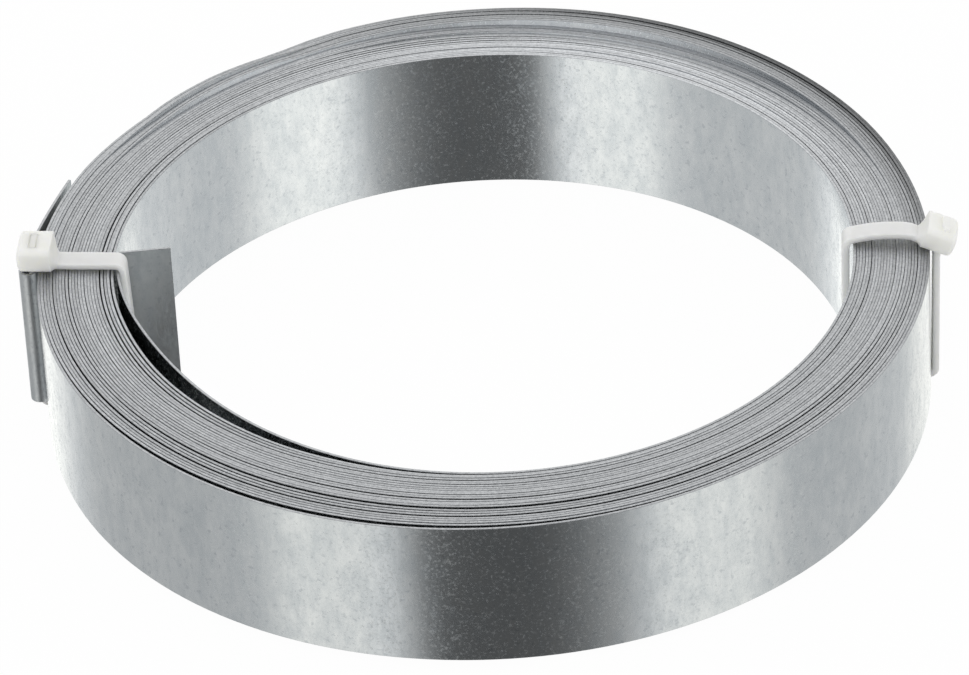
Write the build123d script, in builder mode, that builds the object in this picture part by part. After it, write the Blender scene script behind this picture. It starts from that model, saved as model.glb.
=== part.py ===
from build123d import *
import os
from math import cos, radians, sin

# Galvanised steel strip in a flat coil, held by two nylon cable ties.
# Millimetres. The origin is on the coil's axis at floor level, +Z is up,
# and the ties lie at the left (-X) and the right (+X).

# The strip and how it is wound
strip_width = 25.0
strip_thickness = 0.45
turn_count = 25
turn_pitch = 0.504
bore_radius = 58.0

# The centre of the outermost turn, off the bore's: the pack is tightest at the back and the right
pack_shift_x = -0.3
pack_shift_y = -0.6

# The grooves that show the turns on both ends, one at every third joint between turns
turns_between_grooves = 3
groove_width = 0.30
groove_depth = 0.45

# The flat chords that the tightened ties pull in the outer turns
left_tie_squeeze = 0.1
right_tie_squeeze = 0.1

# The innermost turn, which has come loose from the pack between two azimuths
loose_start_azimuth = 180.0
loose_inward_azimuth = 191.0
loose_deepest_azimuth = 213.0
loose_return_azimuth = 245.0
loose_end_azimuth = 290.0
loose_inward_depth = 1.5
loose_deepest_depth = 3.2
loose_return_depth = 1.9

# The inner end of the strip, folded square to the turns
tab_length = 8.6
tab_angle = 3.5
tab_gap = 0.95

# The outer end of the strip, bent back round the left tie
hook_gap = 2.4
hook_turn_angle = 189.0
hook_lift_azimuth = 160.0
hook_leg_length = 4.0
hook_nose_cover = 0.25
hook_tip_azimuth = 157.5
hook_tip_gap = 0.85

# The cable ties
tie_strap_width = 3.6
tie_strap_thickness = 1.05
tie_clearance = 0.3
tie_outer_corner = 1.6
tie_inner_corner = 0.5
left_tie_azimuth = 176.8
right_tie_azimuth = 359.0

# The ties' heads, with the cut end of the tail standing in its slot
head_length = 5.6
head_width = 6.1
head_height = 3.8
head_edge_radius = 0.6
head_slot_offset = 0.4
head_slot_clearance = 0.3
head_slot_depth = 1.8
neck_length = 1.2
neck_width = 5.0
left_head_inset = 1.1
left_head_lift = 0.35
left_head_shift = 0.0
left_head_tilt = 0.0
left_tail_stub = 0.2
right_head_inset = -1.0
right_head_lift = -0.75
right_head_shift = 1.2
right_head_tilt = 21.0
right_tail_stub = 1.2

# Worked out from the values above
coil_base = tie_strap_thickness + tie_clearance
coil_top = coil_base + strip_width
coil_radius = bore_radius + turn_count * turn_pitch


def polar(radius, azimuth):
    """The plan point at a radius and an azimuth in degrees from +X."""
    return (radius * cos(radians(azimuth)), radius * sin(radians(azimuth)))


def pack_reach(azimuth):
    """How far the pack's outer face reaches from the bore's axis at an azimuth."""
    out_x, out_y = polar(1, azimuth)
    return coil_radius + pack_shift_x * out_x + pack_shift_y * out_y


left_flat = pack_reach(left_tie_azimuth) - left_tie_squeeze
right_flat = pack_reach(right_tie_azimuth) - right_tie_squeeze


def tie_plan(azimuth, height):
    """A level plane with its x axis pointing out through a tie."""
    return Plane(origin=(0, 0, height), x_dir=polar(1, azimuth) + (0,), z_dir=(0, 0, 1))


def upright(azimuth):
    """A standing plane through the axis: x outwards along the azimuth, y up."""
    out_x, out_y = polar(1, azimuth)
    return Plane(origin=(0, 0, 0), x_dir=(out_x, out_y, 0), z_dir=(out_y, -out_x, 0))


def loose_turn_face(offset):
    """One face of the loose innermost turn, as a smooth line in plan."""
    wall = bore_radius + strip_thickness / 2 + offset
    sunk = wall + strip_thickness
    return Spline(
        polar(sunk, loose_start_azimuth),
        polar(wall - loose_inward_depth, loose_inward_azimuth),
        polar(wall - loose_deepest_depth, loose_deepest_azimuth),
        polar(wall - loose_return_depth, loose_return_azimuth),
        polar(sunk, loose_end_azimuth),
    )


# The pack of turns: one ring, its outer turns a little off the centre of its bore
with BuildPart() as coil:
    with BuildSketch(Plane.XY.offset(coil_base)):
        with Locations((pack_shift_x, pack_shift_y)):
            Circle(coil_radius)
        Circle(bore_radius, mode=Mode.SUBTRACT)
    extrude(amount=strip_width)

    # The joints between turns, cut in both ends of the ring, each round its own turn's centre
    for turns_inside in range(turns_between_grooves, turn_count, turns_between_grooves):
        joint_radius = bore_radius + turns_inside * turn_pitch
        joint_x = pack_shift_x * turns_inside / turn_count
        joint_y = pack_shift_y * turns_inside / turn_count
        with BuildSketch(Plane(origin=(joint_x, joint_y, 0), x_dir=(1, 0, 0), z_dir=(0, -1, 0))):
            with Locations((joint_radius, coil_base), (joint_radius, coil_top)):
                Polygon(
                    (-groove_width / 2, 0),
                    (0, -groove_depth),
                    (groove_width / 2, 0),
                    (0, groove_depth),
                    align=None,
                )
        revolve(axis=Axis((joint_x, joint_y, 0), (0, 0, 1)), mode=Mode.SUBTRACT)

    # The short flats under the two ties
    for azimuth, flat in ((left_tie_azimuth, left_flat), (right_tie_azimuth, right_flat)):
        out_x, out_y = polar(1, azimuth)
        split(bisect_by=Plane(origin=(flat * out_x, flat * out_y, 0), z_dir=(-out_x, -out_y, 0)))

    # The loose stretch of the innermost turn
    with BuildSketch(Plane.XY.offset(coil_base)):
        with BuildLine():
            inner_face = loose_turn_face(-strip_thickness / 2)
            outer_face = loose_turn_face(strip_thickness / 2)
            Line(inner_face @ 0, outer_face @ 0)
            Line(inner_face @ 1, outer_face @ 1)
        make_face()
    extrude(amount=strip_width)

    # The folded inner end, a flat tab that stands across the bore beside the left tie
    tab_side = tie_strap_width / 2 + tab_gap
    with BuildSketch(tie_plan(left_tie_azimuth, coil_base)):
        with Locations(Location((bore_radius + strip_thickness, -tab_side, 0), (0, 0, 180 + tab_angle))):
            Rectangle(tab_length, strip_thickness, align=(Align.MIN, Align.MIN))
    extrude(amount=strip_width)

    # The hooked outer end: off the pack, along the flat, round the nose and back beside the pack
    leg_radius = left_flat + strip_thickness / 2
    nose_radius = (hook_gap + strip_thickness) / 2
    nose_start = tie_strap_width / 2 - hook_nose_cover
    lift_radius = pack_reach(hook_lift_azimuth) - strip_thickness
    lift_point = polar(lift_radius, hook_lift_azimuth - left_tie_azimuth)
    tip_radius = pack_reach(hook_tip_azimuth) + hook_tip_gap + strip_thickness / 2
    tip_point = polar(tip_radius, hook_tip_azimuth - left_tie_azimuth)
    with BuildSketch(tie_plan(left_tie_azimuth, coil_base)):
        with BuildLine() as hook_path:
            leg = Line((leg_radius, nose_start - hook_leg_length), (leg_radius, nose_start))
            TangentArc(leg @ 0, lift_point, tangent=(leg % 0) * -1)
            nose = JernArc(leg @ 1, leg % 1, nose_radius, -hook_turn_angle)
            TangentArc(nose @ 1, tip_point, tangent=nose % 1)
        trace(hook_path.line, line_width=strip_thickness)
    extrude(amount=strip_width)

coil.part.label = "steel_strip_coil"


def cable_tie(azimuth, outer_face, head_inset, head_lift, head_shift, head_tilt, tail_stub):
    """A strap round the ring's section and a head that stands over its outer edge."""
    loop_inner = bore_radius - tie_clearance
    loop_outer = outer_face + tie_clearance
    loop_bottom = coil_base - tie_clearance
    loop_top = coil_top + tie_clearance
    loop_width = loop_outer - loop_inner
    loop_height = loop_top - loop_bottom
    slot_length = tie_strap_thickness + 2 * head_slot_clearance
    slot_width = tie_strap_width + 2 * head_slot_clearance
    head_middle = loop_outer + tie_strap_thickness / 2 - head_inset
    head_level = loop_top + head_height / 2 + head_lift
    head_place = Location((head_middle, head_level, head_shift), (0, 0, -head_tilt))
    head_side = upright(azimuth) * head_place
    head_top = head_side * Location((0, head_height / 2, 0), (-90, 0, 0))
    neck_start = head_middle - head_length / 2
    with BuildPart() as tie:
        with BuildSketch(upright(azimuth)):
            with Locations(((loop_inner + loop_outer) / 2, (loop_bottom + loop_top) / 2)):
                RectangleRounded(
                    loop_width + 2 * tie_strap_thickness,
                    loop_height + 2 * tie_strap_thickness,
                    tie_outer_corner,
                )
                RectangleRounded(loop_width, loop_height, tie_inner_corner, mode=Mode.SUBTRACT)
        extrude(amount=tie_strap_width / 2, both=True)
        with BuildSketch(tie_plan(azimuth, loop_top)):
            Polygon(
                (neck_start + neck_length, -neck_width / 2 - head_shift),
                (neck_start + neck_length, neck_width / 2 - head_shift),
                (neck_start - neck_length, tie_strap_width / 2),
                (neck_start - neck_length, -tie_strap_width / 2),
                align=None,
            )
        extrude(amount=tie_strap_thickness)
        with BuildSketch(head_side):
            RectangleRounded(head_length, head_height, head_edge_radius)
        extrude(amount=head_width / 2, both=True)
        with BuildSketch(head_top):
            with Locations((head_slot_offset, 0)):
                Rectangle(slot_length, slot_width)
        extrude(amount=-head_slot_depth, mode=Mode.SUBTRACT)
        with BuildSketch(head_top * Location((0, 0, tail_stub))):
            with Locations((head_slot_offset, 0)):
                Rectangle(tie_strap_thickness, tie_strap_width)
        extrude(amount=-tail_stub - head_slot_depth)
    return tie


left_tie = cable_tie(
    left_tie_azimuth,
    left_flat + strip_thickness,
    left_head_inset,
    left_head_lift,
    left_head_shift,
    left_head_tilt,
    left_tail_stub,
)
left_tie.part.label = "cable_tie_left"

right_tie = cable_tie(
    right_tie_azimuth,
    right_flat,
    right_head_inset,
    right_head_lift,
    right_head_shift,
    right_head_tilt,
    right_tail_stub,
)
right_tie.part.label = "cable_tie_right"

os.makedirs("parts", exist_ok=True)
export_step(coil.part, "parts/steel_strip_coil.step")
export_step(left_tie.part, "parts/cable_tie_left.step")
export_step(right_tie.part, "parts/cable_tie_right.step")
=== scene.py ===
import bmesh
import bpy
import numpy as np
from math import atan2, cos, degrees, pi, radians, sin, sqrt
from mathutils import Matrix, Vector


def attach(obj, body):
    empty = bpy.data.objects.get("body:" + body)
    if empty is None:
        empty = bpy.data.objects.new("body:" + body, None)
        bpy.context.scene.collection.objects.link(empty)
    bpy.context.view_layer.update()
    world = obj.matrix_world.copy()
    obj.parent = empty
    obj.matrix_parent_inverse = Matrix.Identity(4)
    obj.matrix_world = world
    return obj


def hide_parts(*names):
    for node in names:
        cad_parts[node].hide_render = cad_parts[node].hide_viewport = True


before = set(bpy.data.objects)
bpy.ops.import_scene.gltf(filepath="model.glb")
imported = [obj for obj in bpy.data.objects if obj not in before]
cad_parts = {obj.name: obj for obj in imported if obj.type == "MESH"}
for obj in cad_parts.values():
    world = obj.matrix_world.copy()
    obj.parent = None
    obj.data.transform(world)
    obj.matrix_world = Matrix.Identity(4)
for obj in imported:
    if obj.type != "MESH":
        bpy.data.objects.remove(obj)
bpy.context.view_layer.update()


# The steel strip. It is 10 m of galvanised sheet slit 25 mm wide, wound flat into 25 turns, so its two
# faces are zinc and its edges bare sheared steel. The first turn has sagged away from the pack, the
# outer turns have slipped upwards at the back, and both ends are bent over.

# Sizes are in millimetres, and azimuths in degrees that count on from the first turn's start
mm = 0.001
strip_width = 25.0
strip_thickness = 0.45
edge_round = 0.07
edge_round_points = 2
coil_base = 1.35
turn_count = 25
steps_per_turn = 180
start_azimuth = 174.4

# Inner face of the first turn: azimuth and radius
first_turn = (
    (174.8, 58.4), (182, 57.9), (190, 56.6), (198, 55.3), (209, 54.8), (220, 54.85), (236, 55.5),
    (255, 56.5), (275, 57.2), (310, 57.85), (335, 58.2), (350, 58.3), (365, 58.1), (385, 57.75), (410, 57.45),
    (450, 57.25), (480, 57.6), (494, 57.95), (534.4, 58.9),
)
# How far the second turn stands off the first, over and above the strip's thickness
second_turn_gap = (
    (174.8, 0.05), (186, 1.0), (194, 1.7), (202, 2.25), (207, 2.45), (214, 2.26), (219, 2.05), (224, 1.85),
    (229, 1.5), (236, 1.3), (240, 0.95), (244, 0.65), (248, 0.5), (254, 0.36), (260, 0.26), (266, 0.12),
    (274, 0.05), (534.8, 0.05),
)
# Outer face of the last turn: azimuth and radius
last_turn = (
    (174.8, 70.80), (197, 71.03), (206, 71.20), (218, 71.33), (229, 71.40), (241, 71.40), (252, 71.28),
    (262, 71.18), (272, 71.13), (282, 71.08), (292, 70.96), (304, 70.86), (318, 70.70), (332, 70.55),
    (345, 70.38), (360, 70.20), (380, 70.10), (410, 70.00), (450, 69.94), (482, 69.97), (496, 70.12),
    (505, 70.32), (513, 70.55), (522, 70.85), (534.8, 71.25),
)
# How far the corners between those stops are rounded off, along the azimuth
first_turn_blur = 7.0
pack_blur = 4.0

# Joints that stand open: the turn inside the joint, the azimuth, half its spread and the extra gap
open_joints = (
    (23, 245, 55, 0.62), (23, 285, 40, 0.15), (22, 205, 40, 0.05), (21, 250, 60, 0.12), (19, 225, 60, 0.10),
    (1, 222, 48, 0.30), (8, 60, 60, 0.08), (19, 50, 60, 0.08), (22, 45, 60, 0.12),
)
# The room left between the turns is shared out unevenly along the strip: every joint gets a tight
# joint's share, and where it stands open some of an open joint's
tight_joint_share = 0.3
open_joint_share = 2.3
open_joint_rarity = 1.4
joint_changes_per_turn = 5

# Slips along the axis: the turn from which all the outer ones have moved, and how far up by azimuth
slipped_turns = (
    (13, ((370, 0), (385, 0.15), (405, 0.25), (420, 0.33), (440, 0.36), (460, 0.30), (475, 0.05),
          (485, 0.08), (495, 0.10), (505, 0.05), (520, 0))),
    (17, ((368, 0), (378, 0.2), (386, 0.5), (393, 0.65), (402, 0.87), (409, 1.02), (415, 1.10),
          (427, 1.13), (433, 1.10), (438, 1.03), (444, 0.92), (449, 0.80), (454, 0.72), (460, 0.60),
          (465, 0.50), (471, 0.35), (476, 0.35), (482, 0.88), (488, 0.95), (494, 0.85), (500, 0.55),
          (507, 0.3), (515, 0.15), (525, 0.05), (532, 0))),
    (20, ((380, 0), (410, -0.2), (440, -0.25), (465, -0.15), (475, 0))),
    (15, ((468, 0), (482, -0.3), (500, -0.3), (515, 0))),
    (19, ((468, 0), (482, -0.5), (500, -0.5), (515, 0))),
    (21, ((472, 0), (480, 0.35), (488, 0.6), (496, 0.6), (503, 0.35), (512, 0))),
    (22, ((472, 0), (480, -0.4), (500, -0.35), (512, 0))),
    (23, ((472, 0), (480, -0.3), (500, -0.2), (512, 0))),
)
height_wander = 0.09
height_changes_per_turn = 3

# The edges' brightness wanders along the strip, and the inner turns' edges at the back are coloured lighter,
# a painted highlight
edge_tone_wander = 0.10
edge_tone_changes_per_turn = 6
back_azimuth = 62
back_half_spread = 82
inner_edge_painted_highlight = 0.42
gain_ends_at_turn = 12
gain_fades_over_turns = 5
# Painted shade: outer turns whose edges are coloured darker at the back: the turn, the share of the light
# that it loses, the azimuth and half its spread
shaded_outer_edges = (
    (17, 0.10, 62, 82), (18, 0.18, 62, 82), (19, 0.35, 62, 82), (20, 0.22, 62, 82), (21, 0.40, 62, 82),
    (22, 0.72, 48, 66), (23, 0.66, 46, 62), (24, 0.76, 46, 66),
)
# The zinc is coloured lighter in the bore and darker outside, and darker on the hook at the outer end
bore_tone = 1.14
outside_tone = 0.94
# Painted shade: the tab at the inner end is coloured darker still
shaded_tab_tone = 0.71
hook_tone = 0.78
# Painted highlight: bands where the slipped turns stand bare, coloured paler and made matt so that they
# look brightly lit: turn, azimuth, half spread and share
painted_bright_bands = (
    (13, 75, 34, 0.8), (17, 78, 36, 0.9), (17, 124, 26, 1.0), (13, 124, 22, 0.6), (21, 128, 24, 0.8),
)
bright_band_gain = 0.4
pack_seed = 11


def eased(azimuths, stops, blur):
    """Values between stops, rounded off so that the line has no corners."""
    values = np.interp(azimuths, *zip(*stops))
    step = azimuths[1] - azimuths[0]
    reach = int(round(3 * blur / step))
    kernel = np.exp(-0.5 * (np.arange(-reach, reach + 1) * step / blur) ** 2)
    padded = np.pad(values, reach, mode="reflect", reflect_type="odd")
    return np.convolve(padded, kernel / kernel.sum(), "valid")


def wander(turns, changes_per_turn, random):
    """A smooth random line along the strip, between -1 and 1."""
    knots = random.uniform(-1, 1, int(turn_count * changes_per_turn) + 3)
    place = turns * changes_per_turn
    left = np.floor(place).astype(int)
    share = place - left
    share = share * share * (3 - 2 * share)
    return knots[left] * (1 - share) + knots[left + 1] * share


def hump(azimuths, middle, spread):
    """1 at the middle azimuth, falling smoothly to 0 at the spread on either side."""
    away = np.abs((azimuths - middle + 180) % 360 - 180)
    return np.where(away < spread, 0.5 + 0.5 * np.cos(pi * away / spread), 0.0)


def wound_radii(turns, azimuths, layer, random):
    """Radius of the strip's inner face along the turns, from the first turn out to the last."""
    n = steps_per_turn
    one_turn = azimuths[: n + 1]
    opened = np.clip(wander(turns, joint_changes_per_turn, random), 0, 1) ** open_joint_rarity
    openness = tight_joint_share + open_joint_share * opened
    extra = np.zeros_like(turns)
    for inside, middle, spread, gap in open_joints:
        extra += np.where(layer == inside, gap * hump(azimuths, middle, spread), 0)
    radius = np.empty_like(turns)
    radius[: n + 1] = eased(one_turn, first_turn, first_turn_blur)
    second = radius[:n] + strip_thickness + eased(one_turn, second_turn_gap, pack_blur)[:-1]
    joints = slice(n, (turn_count - 1) * n)
    spare = eased(one_turn, last_turn, pack_blur)[:-1] - second - (turn_count - 1) * strip_thickness
    spare -= extra[joints].reshape(-1, n).sum(axis=0)
    gap = np.zeros_like(turns)
    gap[:n] = second - radius[:n] - strip_thickness
    share = openness[joints].reshape(-1, n)
    gap[joints] = (share * spare / share.sum(axis=0)).ravel() + extra[joints]
    for i in range(n + 1, len(turns)):
        radius[i] = radius[i - n] + strip_thickness + gap[i - n]
    return radius


def wound_strip():
    """Azimuth, radius and lift along the turns, and the strip's tones with painted light, shade and bright
    bands.
    """
    random = np.random.default_rng(pack_seed)
    turns = np.arange(turn_count * steps_per_turn + 1) / steps_per_turn
    azimuths = start_azimuth + 360 * turns
    layer = np.minimum(turns.astype(int), turn_count - 1)
    around = start_azimuth + 360 * (turns - layer)
    radius = wound_radii(turns, azimuths, layer, random)
    lift = height_wander * wander(turns, height_changes_per_turn, random)
    for first, stops in slipped_turns:
        lift += np.where(layer >= first, np.interp(around, *zip(*stops)), 0)
    at_back = hump(azimuths, back_azimuth, back_half_spread)
    edge_tone = 1 + edge_tone_wander * wander(turns, edge_tone_changes_per_turn, random)
    inner = np.clip((gain_ends_at_turn - layer) / gain_fades_over_turns, 0, 1)
    # Painted highlight: a lighter colour on the inner turns' edges at the back
    edge_tone *= 1 + inner_edge_painted_highlight * at_back * inner
    # Painted shade: a darker colour on those outer turns' edges at the back
    for shaded_turn, loss, middle, spread in shaded_outer_edges:
        edge_tone *= 1 - np.where(layer == shaded_turn, loss * np.sqrt(hump(azimuths, middle, spread)), 0)
    face_tone = np.interp(layer, (0, 1, turn_count - 2, turn_count - 1), (bore_tone, 1, 1, outside_tone))
    chalky = np.zeros_like(turns)
    for turn, middle, spread, share in painted_bright_bands:
        chalky += np.where(layer == turn, share * np.sqrt(hump(azimuths, middle, spread)), 0)
    # Painted highlight: the bands' colour is raised
    face_tone += bright_band_gain * chalky
    return azimuths, radius, lift, edge_tone, face_tone, chalky


def arc(centre, radius, start, sweep, count):
    """Points on an arc in plan, from a start direction through a sweep."""
    angles = np.radians(start + np.linspace(0, sweep, count))
    return [(centre[0] + radius * cos(a), centre[1] + radius * sin(a)) for a in angles]


azimuths, radius, lift, edge_tone, face_tone, chalky = wound_strip()
middle_radius = radius + strip_thickness / 2
spiral = [(r * cos(radians(a)), r * sin(radians(a))) for a, r in zip(azimuths, middle_radius)]

# The inner end: a tab folded square across the bore beside the left tie
tab_length = 7.9
tab_heading = 184.0
fold_radius = 0.7
fold_points = 15
(first_x, first_y), (next_x, next_y) = spiral[:2]
heading = degrees(atan2(next_y - first_y, next_x - first_x)) % 360
fold_centre = (first_x - fold_radius * sin(radians(heading)), first_y + fold_radius * cos(radians(heading)))
fold = arc(fold_centre, fold_radius, tab_heading - 90, heading - tab_heading, fold_points)
tab_end = (
    fold[0][0] - tab_length * cos(radians(tab_heading)),
    fold[0][1] - tab_length * sin(radians(tab_heading)),
)

# The outer end: round a nose and back beside the pack as a flap, which closes it round the left tie.
# It is laid out from the tie, outwards through it and forwards along the strip there.
left_tie_azimuth = 176.8
hook_straight = 1.05
nose_radius = 1.385
nose_turn = 189.0
nose_points = 25
flap_tip = (67.63, -23.8)
flap_points = 20
leg = middle_radius[-1] * cos(radians(left_tie_azimuth - start_azimuth))
nose = arc((leg + nose_radius, hook_straight), nose_radius, 180, -nose_turn, nose_points)
flap_start = Vector(nose[-1])
flap_heading = Vector((sin(radians(180 - nose_turn)), -cos(radians(180 - nose_turn))))
chord = Vector(flap_tip) - flap_start
bend = flap_heading.angle_signed(chord)
flap_radius = chord.length / (2 * sin(bend))
flap_centre = flap_start + flap_radius * Vector((flap_heading.y, -flap_heading.x))
flap_from = degrees(atan2(flap_start.y - flap_centre.y, flap_start.x - flap_centre.x))
flap = arc(flap_centre, abs(flap_radius), flap_from, -2 * degrees(bend), flap_points)
out_x, out_y = cos(radians(left_tie_azimuth)), sin(radians(left_tie_azimuth))
hook = [(out * out_x - ahead * out_y, out * out_y + ahead * out_x) for out, ahead in nose + flap[1:]]


def new_object(name, data):
    """A new object in the scene."""
    obj = bpy.data.objects.new(name, data)
    bpy.context.scene.collection.objects.link(obj)
    return obj


def line_object(name, points):
    """A new object that is a plain line through points."""
    mesh = bpy.data.meshes.new(name)
    mesh.from_pydata(points, [(i, i + 1) for i in range(len(points) - 1)], [])
    return new_object(name, mesh)


# The whole strip's middle line, with its looks kept on the points
plan = [tab_end] + fold[:-1] + spiral + hook
heights = coil_base + strip_width / 2 + np.pad(lift, (len(fold), len(hook)), mode="edge")
strip_line = line_object("strip line", [(x * mm, y * mm, z * mm) for (x, y), z in zip(plan, heights)])
unscuffed = np.zeros_like(face_tone)
for name, on_turns, on_tab, on_hook in (
    ("edge_tone", edge_tone, 1.0, 1.0),
    ("face_tone", face_tone, shaded_tab_tone, hook_tone),
    ("scuffed", unscuffed, 1.0, 1.0),
    ("chalky", chalky, 0.0, 0.0),
):
    values = np.concatenate((np.full(len(fold), on_tab), on_turns, np.full(len(hook), on_hook)))
    on_points = strip_line.data.attributes.new(name, "FLOAT", "POINT")
    on_points.data.foreach_set("value", values.astype(np.float32))


def add_node(tree, kind, inputs=(), **settings):
    """Adds a node, whose inputs are values, other nodes' sockets or lists of them, and gives its outputs."""
    node = tree.nodes.new(kind)
    for setting, value in settings.items():
        setattr(node, setting, value)
    for socket, value in dict(inputs).items():
        for source in value if isinstance(value, list) else [value]:
            if isinstance(source, bpy.types.NodeSocket):
                tree.links.new(source, node.inputs[socket])
            else:
                node.inputs[socket].default_value = source
    return node.outputs


def new_material(name):
    """An empty node material and its tree."""
    material = bpy.data.materials.new(name)
    material.use_nodes = True
    material.node_tree.nodes.clear()
    return material, material.node_tree


def surface(tree, inputs):
    """Ends a material's tree with one shader for everything that the surface does."""
    shader = add_node(tree, "ShaderNodeBsdfPrincipled", inputs)
    add_node(tree, "ShaderNodeOutputMaterial", {"Surface": shader["BSDF"]})


def noise(tree, vector, scale, detail, rough):
    """Fractal noise at a scale in cycles per metre."""
    inputs = {"Vector": vector, "Scale": scale, "Detail": detail, "Roughness": rough}
    return add_node(tree, "ShaderNodeTexNoise", inputs)["Fac"]


def ramp(tree, value, span, results):
    """A clamped linear step that takes a span of values to a span of results."""
    limits = dict(zip(("From Min", "From Max", "To Min", "To Max"), span + results))
    return add_node(tree, "ShaderNodeMapRange", {"Value": value, **limits})["Result"]


def blend_colours(tree, share, first, second):
    """A mix of two colours by a share from 0 to 1. A colour is a tuple or a socket."""
    colours = [colour + (1,) if isinstance(colour, tuple) else colour for colour in (first, second)]
    first_colour_input = 6
    second_colour_input = 7
    colour_output = 2
    inputs = {"Factor": share, first_colour_input: colours[0], second_colour_input: colours[1]}
    return add_node(tree, "ShaderNodeMix", inputs, data_type="RGBA")[colour_output]


def add_values(tree, total, *values):
    """The sum of several values."""
    for value in values:
        total = add_node(tree, "ShaderNodeMath", {0: total, 1: value}, operation="ADD")[0]
    return total


def bump(tree, height, depth):
    """A normal with relief of a depth in millimetres."""
    inputs = {"Height": height, "Strength": 1.0, "Distance": depth * mm}
    return add_node(tree, "ShaderNodeBump", inputs)["Normal"]


def attribute(tree, name):
    """A value kept on the mesh's points."""
    return add_node(tree, "ShaderNodeAttribute", attribute_name=name)["Fac"]


def toned(tree, colour, tone):
    """A colour times a value."""
    return add_node(tree, "ShaderNodeVectorMath", {0: colour, "Scale": tone}, operation="SCALE")[0]


# Zinc: bright, cool and softly clouded, with a few small matt specks. The clouds stand upright.
zinc_colour = (0.765, 0.785, 0.795)
dull_zinc_colour = (0.615, 0.648, 0.672)
speck_colour = (0.50, 0.53, 0.56)
cloud_stretch = (1.0, 1.0, 0.45)
scuff_roughness = 0.22
bright_band_metallic = 0.1
zinc_relief = 0.006
zinc, tree = new_material("galvanised zinc")
place = add_node(tree, "ShaderNodeTexCoord")["Object"]
stretched = add_node(tree, "ShaderNodeMapping", {"Vector": place, "Scale": cloud_stretch})["Vector"]
clouds = noise(tree, stretched, scale=520, detail=5.0, rough=0.75)
patches = noise(tree, stretched, scale=90, detail=3.0, rough=0.55)
grain = noise(tree, place, scale=2100, detail=2.0, rough=0.6)
specks = noise(tree, place, scale=1100, detail=2.0, rough=0.5)
dullness = add_values(
    tree,
    ramp(tree, clouds, (0.34, 0.66), (0, 0.85)),
    ramp(tree, patches, (0.4, 0.65), (0, 0.35)),
)
clouded = blend_colours(tree, dullness, zinc_colour, dull_zinc_colour)
speckled = blend_colours(tree, ramp(tree, specks, (0.62, 0.70), (0, 0.6)), clouded, speck_colour)
roughness = add_values(
    tree,
    ramp(tree, clouds, (0.35, 0.65), (0.13, 0.22)),
    ramp(tree, grain, (0.5, 0.75), (0, 0.20)),
    ramp(tree, attribute(tree, "scuffed"), (0, 1), (0, scuff_roughness)),
)
# The face tone holds the painted highlight of the pale bands and the painted shade of the tab
surface(
    tree,
    {
        "Base Color": toned(tree, speckled, attribute(tree, "face_tone")),
        "Roughness": roughness,
        "Metallic": ramp(tree, attribute(tree, "chalky"), (0, 1), (1, bright_band_metallic)),
        "Normal": bump(tree, clouds, zinc_relief),
    },
)

# The slit edges: bare steel, torn matt by the shears
steel_colour = (0.475, 0.485, 0.51)
torn_steel_colour = (0.37, 0.38, 0.40)
torn_relief = 0.02
edge_steel, tree = new_material("sheared steel edge")
place = add_node(tree, "ShaderNodeTexCoord")["Object"]
tearing = noise(tree, place, scale=2600, detail=3.0, rough=0.6)
torn = blend_colours(tree, ramp(tree, tearing, (0.35, 0.7), (0, 1)), steel_colour, torn_steel_colour)
# The edge tone holds the painted highlight on the inner edges at the back and the painted shade on the outer
# ones
surface(
    tree,
    {
        "Base Color": toned(tree, torn, attribute(tree, "edge_tone")),
        "Roughness": ramp(tree, tearing, (0.3, 0.7), (0.36, 0.55)),
        "Metallic": 1.0,
        "Normal": bump(tree, tearing, torn_relief),
    },
)


def new_tree(name, sizes):
    """A geometry node tree with named inputs, and the sockets that give them."""
    tree = bpy.data.node_groups.new(name, "GeometryNodeTree")
    tree.interface.new_socket("Geometry", in_out="INPUT", socket_type="NodeSocketGeometry")
    for label, kind in sizes.items():
        tree.interface.new_socket(label, in_out="INPUT", socket_type="NodeSocket" + kind)
    tree.interface.new_socket("Geometry", in_out="OUTPUT", socket_type="NodeSocketGeometry")
    return tree, add_node(tree, "NodeGroupInput")


def sweep_section(tree, path, width, height, corner, corner_points, crease_angle):
    """A rounded rectangle swept along a path, shaded smooth where it turns by less than an angle."""
    oblong = add_node(tree, "GeometryNodeCurvePrimitiveQuadrilateral", {"Width": width, "Height": height})
    inputs = {"Curve": oblong["Curve"], "Radius": corner, "Count": corner_points}
    section = add_node(tree, "GeometryNodeFilletCurve", inputs, mode="POLY")
    inputs = {"Curve": path, "Profile Curve": section["Curve"], "Fill Caps": True}
    swept = add_node(tree, "GeometryNodeCurveToMesh", inputs)
    smooth = add_node(tree, "GeometryNodeSetShadeSmooth", {"Geometry": swept["Mesh"]}, domain="FACE")
    turn = add_node(tree, "GeometryNodeInputMeshEdgeAngle")
    inputs = {"A": turn["Unsigned Angle"], "B": radians(crease_angle)}
    crease = add_node(tree, "FunctionNodeCompare", inputs, operation="GREATER_THAN")
    inputs = {"Geometry": smooth["Geometry"], "Selection": crease["Result"], "Shade Smooth": False}
    return add_node(tree, "GeometryNodeSetShadeSmooth", inputs, domain="EDGE")["Geometry"]


def grow(obj, tree, values):
    """Runs a geometry node tree on an object, and gives a new object with the result as its plain mesh."""
    modifier = obj.modifiers.new(tree.name, "NODES")
    modifier.node_group = tree
    for item in tree.interface.items_tree:
        if item.item_type == "SOCKET" and item.in_out == "INPUT" and item.name in values:
            modifier[item.identifier] = values[item.name]
    graph = bpy.context.evaluated_depsgraph_get()
    mesh = bpy.data.meshes.new_from_object(obj.evaluated_get(graph))
    obj.modifiers.remove(modifier)
    grown = new_object(obj.name + " mesh", mesh)
    bpy.data.objects.remove(obj)
    return grown


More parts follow.
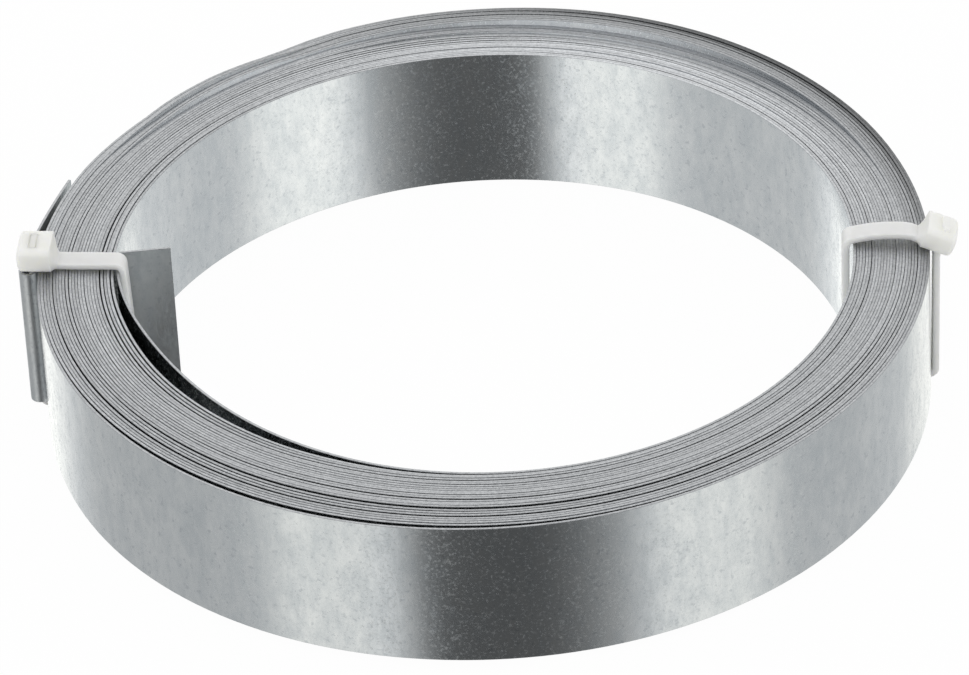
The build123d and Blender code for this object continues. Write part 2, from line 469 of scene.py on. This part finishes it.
# The strip's section, swept standing along that line: zinc on its faces, steel where it faces up or down
strip_crease_angle = 12
least_edge_slope = 0.3
sweep, given = new_tree(
    "wind strip",
    {
        "Strip width": "Float",
        "Strip thickness": "Float",
        "Edge round": "Float",
        "Face": "Material",
        "Edge": "Material",
    },
)
drawn = add_node(sweep, "GeometryNodeMeshToCurve", {"Mesh": given["Geometry"]})
standing = add_node(sweep, "GeometryNodeSetCurveNormal", {"Curve": drawn["Curve"]}, mode="Z_UP")
swept = sweep_section(
    sweep,
    path=standing["Curve"],
    width=given["Strip thickness"],
    height=given["Strip width"],
    corner=given["Edge round"],
    corner_points=edge_round_points,
    crease_angle=strip_crease_angle,
)
normal = add_node(sweep, "GeometryNodeInputNormal")
upwards = add_node(sweep, "ShaderNodeSeparateXYZ", {"Vector": normal["Normal"]})
slope = add_node(sweep, "ShaderNodeMath", {0: upwards["Z"]}, operation="ABSOLUTE")
is_edge = add_node(
    sweep,
    "FunctionNodeCompare",
    {"A": slope[0], "B": least_edge_slope},
    operation="GREATER_THAN",
)
real = add_node(sweep, "GeometryNodeRealizeInstances", {"Geometry": swept})
faced = add_node(sweep, "GeometryNodeSetMaterial", {"Geometry": real["Geometry"], "Material": given["Face"]})
edged = add_node(
    sweep,
    "GeometryNodeSetMaterial",
    {"Geometry": faced["Geometry"], "Selection": is_edge["Result"], "Material": given["Edge"]},
)
add_node(sweep, "NodeGroupOutput", {"Geometry": edged["Geometry"]})

coil = grow(
    strip_line,
    sweep,
    {
        "Strip width": strip_width * mm,
        "Strip thickness": strip_thickness * mm,
        "Edge round": edge_round * mm,
        "Face": zinc,
        "Edge": edge_steel,
    },
)
coil.name = "wound_strip"
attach(coil, "root")
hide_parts("steel_strip_coil")


# The two cable ties. Each is one moulding of natural nylon, a milky, slightly clear plastic: a strap
# with teeth on its inner side, drawn tight round the turns and through the slot of its own head,
# where the rest of the tail has been cut off.
strap_width = 3.6
strap_thickness = 1.05
strap_edge_round = 0.18
strap_edge_points = 4
strap_bend_radius = 1.15
strap_bend_points = 7
strap_crease_angle = 40
tooth_pitch = 0.9
tooth_height = 0.13
tooth_inset = 0.18
# The shares of the strap's length at which its teeth start and end
teeth_start = 0.06
teeth_end = 0.92

nylon_colour = (0.885, 0.885, 0.85)
hazy_nylon_colour = (0.845, 0.845, 0.81)
nylon_clearness = 2.5
nylon_relief = 0.02
nylon, tree = new_material("natural nylon")
place = add_node(tree, "ShaderNodeTexCoord")["Object"]
haze = noise(tree, place, scale=350, detail=2.0, rough=0.5)
haze_share = ramp(tree, haze, (0.3, 0.7), (0, 1))
surface(
    tree,
    {
        "Base Color": blend_colours(tree, haze_share, nylon_colour, hazy_nylon_colour),
        "Roughness": 0.42,
        "Subsurface Weight": 1.0,
        "Subsurface Radius": (1.0, 1.0, 0.9),
        "Subsurface Scale": nylon_clearness * mm,
        "Normal": bump(tree, haze, nylon_relief),
    },
)

# The strap's path is rounded at its bends, swept with its section and set with teeth
lace, given = new_tree(
    "lace tie",
    {
        "Strap width": "Float",
        "Strap thickness": "Float",
        "Edge round": "Float",
        "Bend radius": "Float",
        "Tooth pitch": "Float",
        "Tooth size": "Vector",
        "Across": "Vector",
        "Nylon": "Material",
    },
)
drawn = add_node(lace, "GeometryNodeMeshToCurve", {"Mesh": given["Geometry"]})
bent = add_node(
    lace,
    "GeometryNodeFilletCurve",
    {
        "Curve": drawn["Curve"],
        "Radius": given["Bend radius"],
        "Limit Radius": True,
        "Count": strap_bend_points,
    },
    mode="POLY",
)
lying = add_node(
    lace,
    "GeometryNodeSetCurveNormal",
    {"Curve": bent["Curve"], "Normal": given["Across"]},
    mode="FREE",
)
swept = sweep_section(
    lace,
    path=lying["Curve"],
    width=given["Strap width"],
    height=given["Strap thickness"],
    corner=given["Edge round"],
    corner_points=strap_edge_points,
    crease_angle=strap_crease_angle,
)
toothed = add_node(
    lace,
    "GeometryNodeTrimCurve",
    {"Curve": lying["Curve"], "Start": teeth_start, "End": teeth_end},
)
spots = add_node(
    lace,
    "GeometryNodeCurveToPoints",
    {"Curve": toothed["Curve"], "Length": given["Tooth pitch"]},
    mode="LENGTH",
)
tooth = add_node(lace, "GeometryNodeMeshCube", {"Size": given["Tooth size"]})
inner_side = add_node(lace, "ShaderNodeMath", {0: given["Strap thickness"], 1: -0.5}, operation="MULTIPLY")
seat = add_node(lace, "ShaderNodeCombineXYZ", {"Y": inner_side[0]})
seated = add_node(lace, "GeometryNodeTransform", {"Geometry": tooth["Mesh"], "Translation": seat[0]})
teeth = add_node(
    lace,
    "GeometryNodeInstanceOnPoints",
    {"Points": spots["Points"], "Rotation": spots["Rotation"], "Instance": seated["Geometry"]},
)
real = add_node(lace, "GeometryNodeRealizeInstances", {"Geometry": teeth["Instances"]})
joined = add_node(lace, "GeometryNodeJoinGeometry", {"Geometry": [real["Geometry"], swept]})
moulded = add_node(
    lace,
    "GeometryNodeSetMaterial",
    {"Geometry": joined["Geometry"], "Material": given["Nylon"]},
)
add_node(lace, "NodeGroupOutput", {"Geometry": moulded["Geometry"]})

# The head: a flared neck that starts just inside the strap, and a block with rounded edges, whose
# underside is rounded less. Its slot has a little room round the tail.
head_corner = 0.95
head_underside_round = 0.6
head_end_start = 0.15
head_end_rings = 10
neck_length = 1.3
neck_reach = 0.4
neck_inset = 0.03
neck_corner = 0.28
neck_flare = 2.2
neck_rise = 2.6
neck_rings = 14
fullest_corner = 0.98
corner_points = 6
slot_offset = 0.4
slot_gap = 0.12
slot_depth = 0.3
merge_distance = 0.002
head_crease_angle = 35


def between(first, last, share):
    """The value at a share of the way from the first to the last."""
    return first + (last - first) * share


def rounded_ring(along, half_width, low, high, corner):
    """A rounded rectangle across the head's length, as points along, sideways and up."""
    corner = min(corner, fullest_corner * min(half_width, (high - low) / 2))
    ring = []
    for turn, side, top in ((0, 1, 1), (90, -1, 1), (180, -1, -1), (270, 1, -1)):
        middle_side = side * (half_width - corner)
        middle_up = (high if top > 0 else low) - top * corner
        for angle in np.radians(turn + np.linspace(0, 90, corner_points)):
            ring.append((along, middle_side + corner * cos(angle), middle_up + corner * sin(angle)))
    return ring


def head_rings(length, width, height, strap_level):
    """The rings of the head, from the strap's section through the flared neck to the rounded end."""
    strap_side = strap_width / 2 - neck_inset
    strap_half = strap_thickness / 2 - neck_inset
    rings = []
    for share in np.linspace(0, 1, neck_rings):
        along = neck_reach - length / 2 - neck_length * (1 - share)
        side = between(strap_side, width / 2, share ** neck_flare)
        low = between(strap_level - strap_half, -height / 2, share ** neck_flare)
        high = between(strap_level + strap_half, height / 2, share ** neck_rise)
        rings.append(rounded_ring(along, side, low, high, between(neck_corner, head_corner, share)))
    for share in np.linspace(head_end_start, 1, head_end_rings):
        along = length / 2 - head_corner * (1 - share)
        inset = head_corner * (1 - sqrt(max(0, 1 - share ** 2)))
        low = head_underside_round * inset - height / 2
        rings.append(rounded_ring(along, width / 2 - inset, low, height / 2 - inset, head_corner))
    return rings


def keep(made, name):
    """A new object in the scene with a mesh that has been made."""
    mesh = bpy.data.meshes.new(name)
    made.to_mesh(mesh)
    made.free()
    return new_object(name, mesh)


def head_block(name, at_place, size, strap_level):
    """The head without its slot, lofted through its rings."""
    made = bmesh.new()
    rings = [[made.verts.new(at_place(*p)) for p in ring] for ring in head_rings(*size, strap_level)]
    count = len(rings[0])
    for near, far in zip(rings, rings[1:]):
        for i in range(count):
            j = (i + 1) % count
            made.faces.new((near[i], near[j], far[j], far[i]))
    made.faces.new(rings[0][::-1])
    made.faces.new(rings[-1])
    bmesh.ops.recalc_face_normals(made, faces=made.faces)
    return keep(made, name)


def slot_block(name, at_place, level):
    """What the head's slot leaves room for: a box across the head's top."""
    size = (strap_thickness + 2 * slot_gap, strap_width + 2 * slot_gap, 2 * slot_depth)
    middle = (slot_offset, 0, level)
    made = bmesh.new()
    bmesh.ops.create_cube(made, size=1.0)
    for corner in made.verts:
        corner.co = at_place(*(m + c * e for m, c, e in zip(middle, corner.co, size)))
    bmesh.ops.recalc_face_normals(made, faces=made.faces)
    return keep(made, name)


def cable_tie(name, node_name, azimuth, head_at, head_size, tilt, yaw, strap_level, neck, loop, tail):
    """Builds one tie. Its strap runs along the neck, through the loop and up through the head as its tail.

    The head's middle and the loop are given outwards, up and sideways at the tie's azimuth, the neck by
    how far along the head it goes, and the tail by its levels in the head.
    """
    outwards = Vector((cos(radians(azimuth)), sin(radians(azimuth)), 0))
    sideways = Vector((outwards.y, -outwards.x, 0))
    level_way = outwards * cos(radians(yaw)) + sideways * sin(radians(yaw))
    across_way = sideways * cos(radians(yaw)) - outwards * sin(radians(yaw))
    along_way = level_way * cos(radians(tilt)) - Vector((0, 0, sin(radians(tilt))))
    up_way = across_way.cross(along_way)

    def in_tie(out, up, side):
        return (outwards * out + sideways * side + Vector((0, 0, up))) * mm

    def in_head(along, side, up):
        return in_tie(*head_at) + (along_way * along + across_way * side + up_way * up) * mm

    points = [in_head(along, 0, strap_level) for along in neck]
    points += [in_tie(*p) for p in loop]
    points += [in_head(slot_offset, 0, level) for level in tail]
    values = {
        "Strap width": strap_width * mm,
        "Strap thickness": strap_thickness * mm,
        "Edge round": strap_edge_round * mm,
        "Bend radius": strap_bend_radius * mm,
        "Tooth pitch": tooth_pitch * mm,
        "Tooth size": Vector((strap_width - 2 * tooth_inset, tooth_height, tooth_pitch / 2)) * mm,
        "Across": sideways,
        "Nylon": nylon,
    }
    strap = grow(line_object(name + " strap", points), lace, values)

    # Head, slot and strap become one moulding
    head = head_block(name + " head", in_head, head_size, strap_level)
    slot = slot_block(name + " slot", in_head, head_size[2] / 2)
    for operation, other in (("DIFFERENCE", slot), ("UNION", strap)):
        step = head.modifiers.new(operation, "BOOLEAN")
        step.operation = operation
        step.solver = "EXACT"
        step.use_self = True
        step.object = other
    graph = bpy.context.evaluated_depsgraph_get()
    mesh = bpy.data.meshes.new_from_object(head.evaluated_get(graph))
    made = bmesh.new()
    made.from_mesh(mesh)
    bmesh.ops.remove_doubles(made, verts=made.verts, dist=merge_distance * mm)
    for face in made.faces:
        face.material_index = 0
        face.smooth = True
    for edge in made.edges:
        edge.smooth = edge.calc_face_angle(0) < radians(head_crease_angle)
    for used in (slot, strap, head):
        bpy.data.objects.remove(used)
    tie = keep(made, name)
    tie.data.materials.append(nylon)
    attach(tie, "root")
    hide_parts(node_name)


# The left tie: its head stands level over the outer turns, and its strap passes inside the hook
cable_tie(
    "left_tie_moulding",
    "cable_tie_left",
    azimuth=left_tie_azimuth,
    head_at=(70.97, 28.92, 0.22),
    head_size=(5.8, 6.7, 4.1),
    tilt=0.0,
    yaw=3.0,
    strap_level=-1.745,
    neck=(-1.5, -3.2),
    loop=(
        (66.0, 27.175, -0.1), (63.5, 27.175, -0.2), (57.35, 27.175, -0.5), (56.9, 14.0, -0.5),
        (56.2, 0.53, -0.3), (72.04, 0.53, 0.0), (72.0, 24.5, 0.0),
    ),
    tail=(-1.9, 2.0),
)

# The right tie: its strap arches over the turns, and its head has been pulled over the outer edge
cable_tie(
    "right_tie_moulding",
    "cable_tie_right",
    azimuth=359.0,
    head_at=(71.72, 27.82, 1.45),
    head_size=(5.5, 6.2, 3.9),
    tilt=21.0,
    yaw=7.0,
    strap_level=-1.43,
    neck=(-1.5, -2.8),
    loop=(
        (67.4, 27.93, 0.75), (66.2, 28.02, 0.5), (65.0, 27.98, 0.3), (63.2, 27.9, 0.12),
        (61.2, 27.75, 0.0), (59.5, 27.5, 0.0), (57.0, 27.05, 0.0), (56.85, 14.0, 0.0),
        (57.15, 0.53, 0.0), (71.05, 0.53, 0.0), (71.3, 24.0, 0.9),
    ),
    tail=(-1.9, 2.4),
)


# The setting: a pale floor under even studio light. To the camera the floor is nearly all a plain white
# glow, and the small rest is matt paper that takes the coil's shadow.
floor_size = 3.0
floor_glow = 0.975
paper_colour = (0.9, 0.9, 0.9, 1)
half = floor_size / 2
corners = [(-half, -half, 0), (half, -half, 0), (half, half, 0), (-half, half, 0)]
floor_mesh = bpy.data.meshes.new("floor")
floor_mesh.from_pydata(corners, [], [(0, 1, 2, 3)])
floor = new_object("floor", floor_mesh)
floor.visible_glossy = False
paper, tree = new_material("pale floor")
matt = add_node(tree, "ShaderNodeBsdfDiffuse", {"Color": paper_colour})
glow = add_node(tree, "ShaderNodeEmission", {"Color": (1, 1, 1, 1)})
ray = add_node(tree, "ShaderNodeLightPath")
glow_share = add_node(tree, "ShaderNodeMath", {0: ray["Is Camera Ray"], 1: floor_glow}, operation="MULTIPLY")
mixed = add_node(tree, "ShaderNodeMixShader", {"Fac": glow_share[0], 1: matt["BSDF"], 2: glow["Emission"]})
add_node(tree, "ShaderNodeOutputMaterial", {"Surface": mixed["Shader"]})
floor_mesh.materials.append(paper)

# What the metal mirrors: brightness by compass direction, in degrees from the camera's side towards +X
studio = (
    (-180, 1.30), (-155, 1.28), (-140, 0.84), (-128, 0.61), (-116, 0.57), (-80, 0.56), (-66, 0.60),
    (-54, 0.99), (-36, 0.97), (-28, 0.88), (-22, 0.40), (-17, 0.12), (-8, 0.10), (10, 0.10), (18, 0.15),
    (25, 0.26), (32, 0.40), (39, 0.78), (46, 1.03), (68, 1.00), (82, 0.61), (108, 0.62), (120, 0.68),
    (132, 0.71), (144, 1.02), (156, 1.12), (180, 1.30),
)
bright_level = 0.9
bright_tint = (1.0, 1.0, 0.965)
dim_tint = (0.985, 1.0, 1.0)
room_light = (0.92, 0.92, 0.92)
white = (1.0, 1.0, 1.0)
world = bpy.data.worlds.new("studio")
bpy.context.scene.world = world
world.use_nodes = True
tree = world.node_tree
tree.nodes.clear()
looking = add_node(tree, "ShaderNodeTexCoord")
towards = add_node(tree, "ShaderNodeSeparateXYZ", {"Vector": looking["Generated"]})
to_camera = add_node(tree, "ShaderNodeMath", {0: towards["Y"], 1: -1.0}, operation="MULTIPLY")
compass = add_node(tree, "ShaderNodeMath", {0: towards["X"], 1: to_camera[0]}, operation="ARCTAN2")
round_share = ramp(tree, compass[0], (-pi, pi), (0, 1))
mirrored = add_node(tree, "ShaderNodeValToRGB", {"Fac": round_share})
bands = mirrored["Color"].node.color_ramp.elements
bands.remove(bands[1])
for index, (angle, level) in enumerate(studio):
    tint = bright_tint if level > bright_level else dim_tint
    share = (angle + 180) / 360
    stop = bands[0] if index == 0 else bands.new(share)
    stop.position = share
    stop.color = (level * tint[0], level * tint[1], level * tint[2], 1)
ray = add_node(tree, "ShaderNodeLightPath")
lit = blend_colours(tree, ray["Is Glossy Ray"], room_light, mirrored["Color"])
seen_rays = {0: ray["Is Camera Ray"], 1: ray["Is Transmission Ray"]}
seen = add_node(tree, "ShaderNodeMath", seen_rays, operation="MAXIMUM")
backdrop = add_node(tree, "ShaderNodeBackground", {"Color": blend_colours(tree, seen[0], lit, white)})
add_node(tree, "ShaderNodeOutputWorld", {"Surface": backdrop["Background"]})

# The camera looks along +Y and down on the coil from about 1.1 m, with a slight roll
camera_elevation = radians(35.76)
camera_distance = 1124.16
camera_left = 1.14
camera_up = 7.31
camera_roll = radians(-3.087)
camera_data = bpy.data.cameras.new("camera")
camera_data.lens = 260.76
camera_data.sensor_width = 36.0
camera_data.clip_end = 20.0
camera = new_object("camera", camera_data)
back = Vector((0, -cos(camera_elevation), sin(camera_elevation)))
level_right = Vector((1, 0, 0))
level_up = back.cross(level_right)
right = level_right * cos(camera_roll) + level_up * sin(camera_roll)
up = level_up * cos(camera_roll) - level_right * sin(camera_roll)
stand_at = (back * camera_distance - right * camera_left + up * camera_up + Vector((0, 0, coil_base))) * mm
turned_to = Matrix((right, up, back)).transposed().to_4x4()
camera.matrix_world = Matrix.Translation(stand_at) @ turned_to
bpy.context.scene.camera = camera
bpy.context.scene.view_settings.view_transform = "Standard"
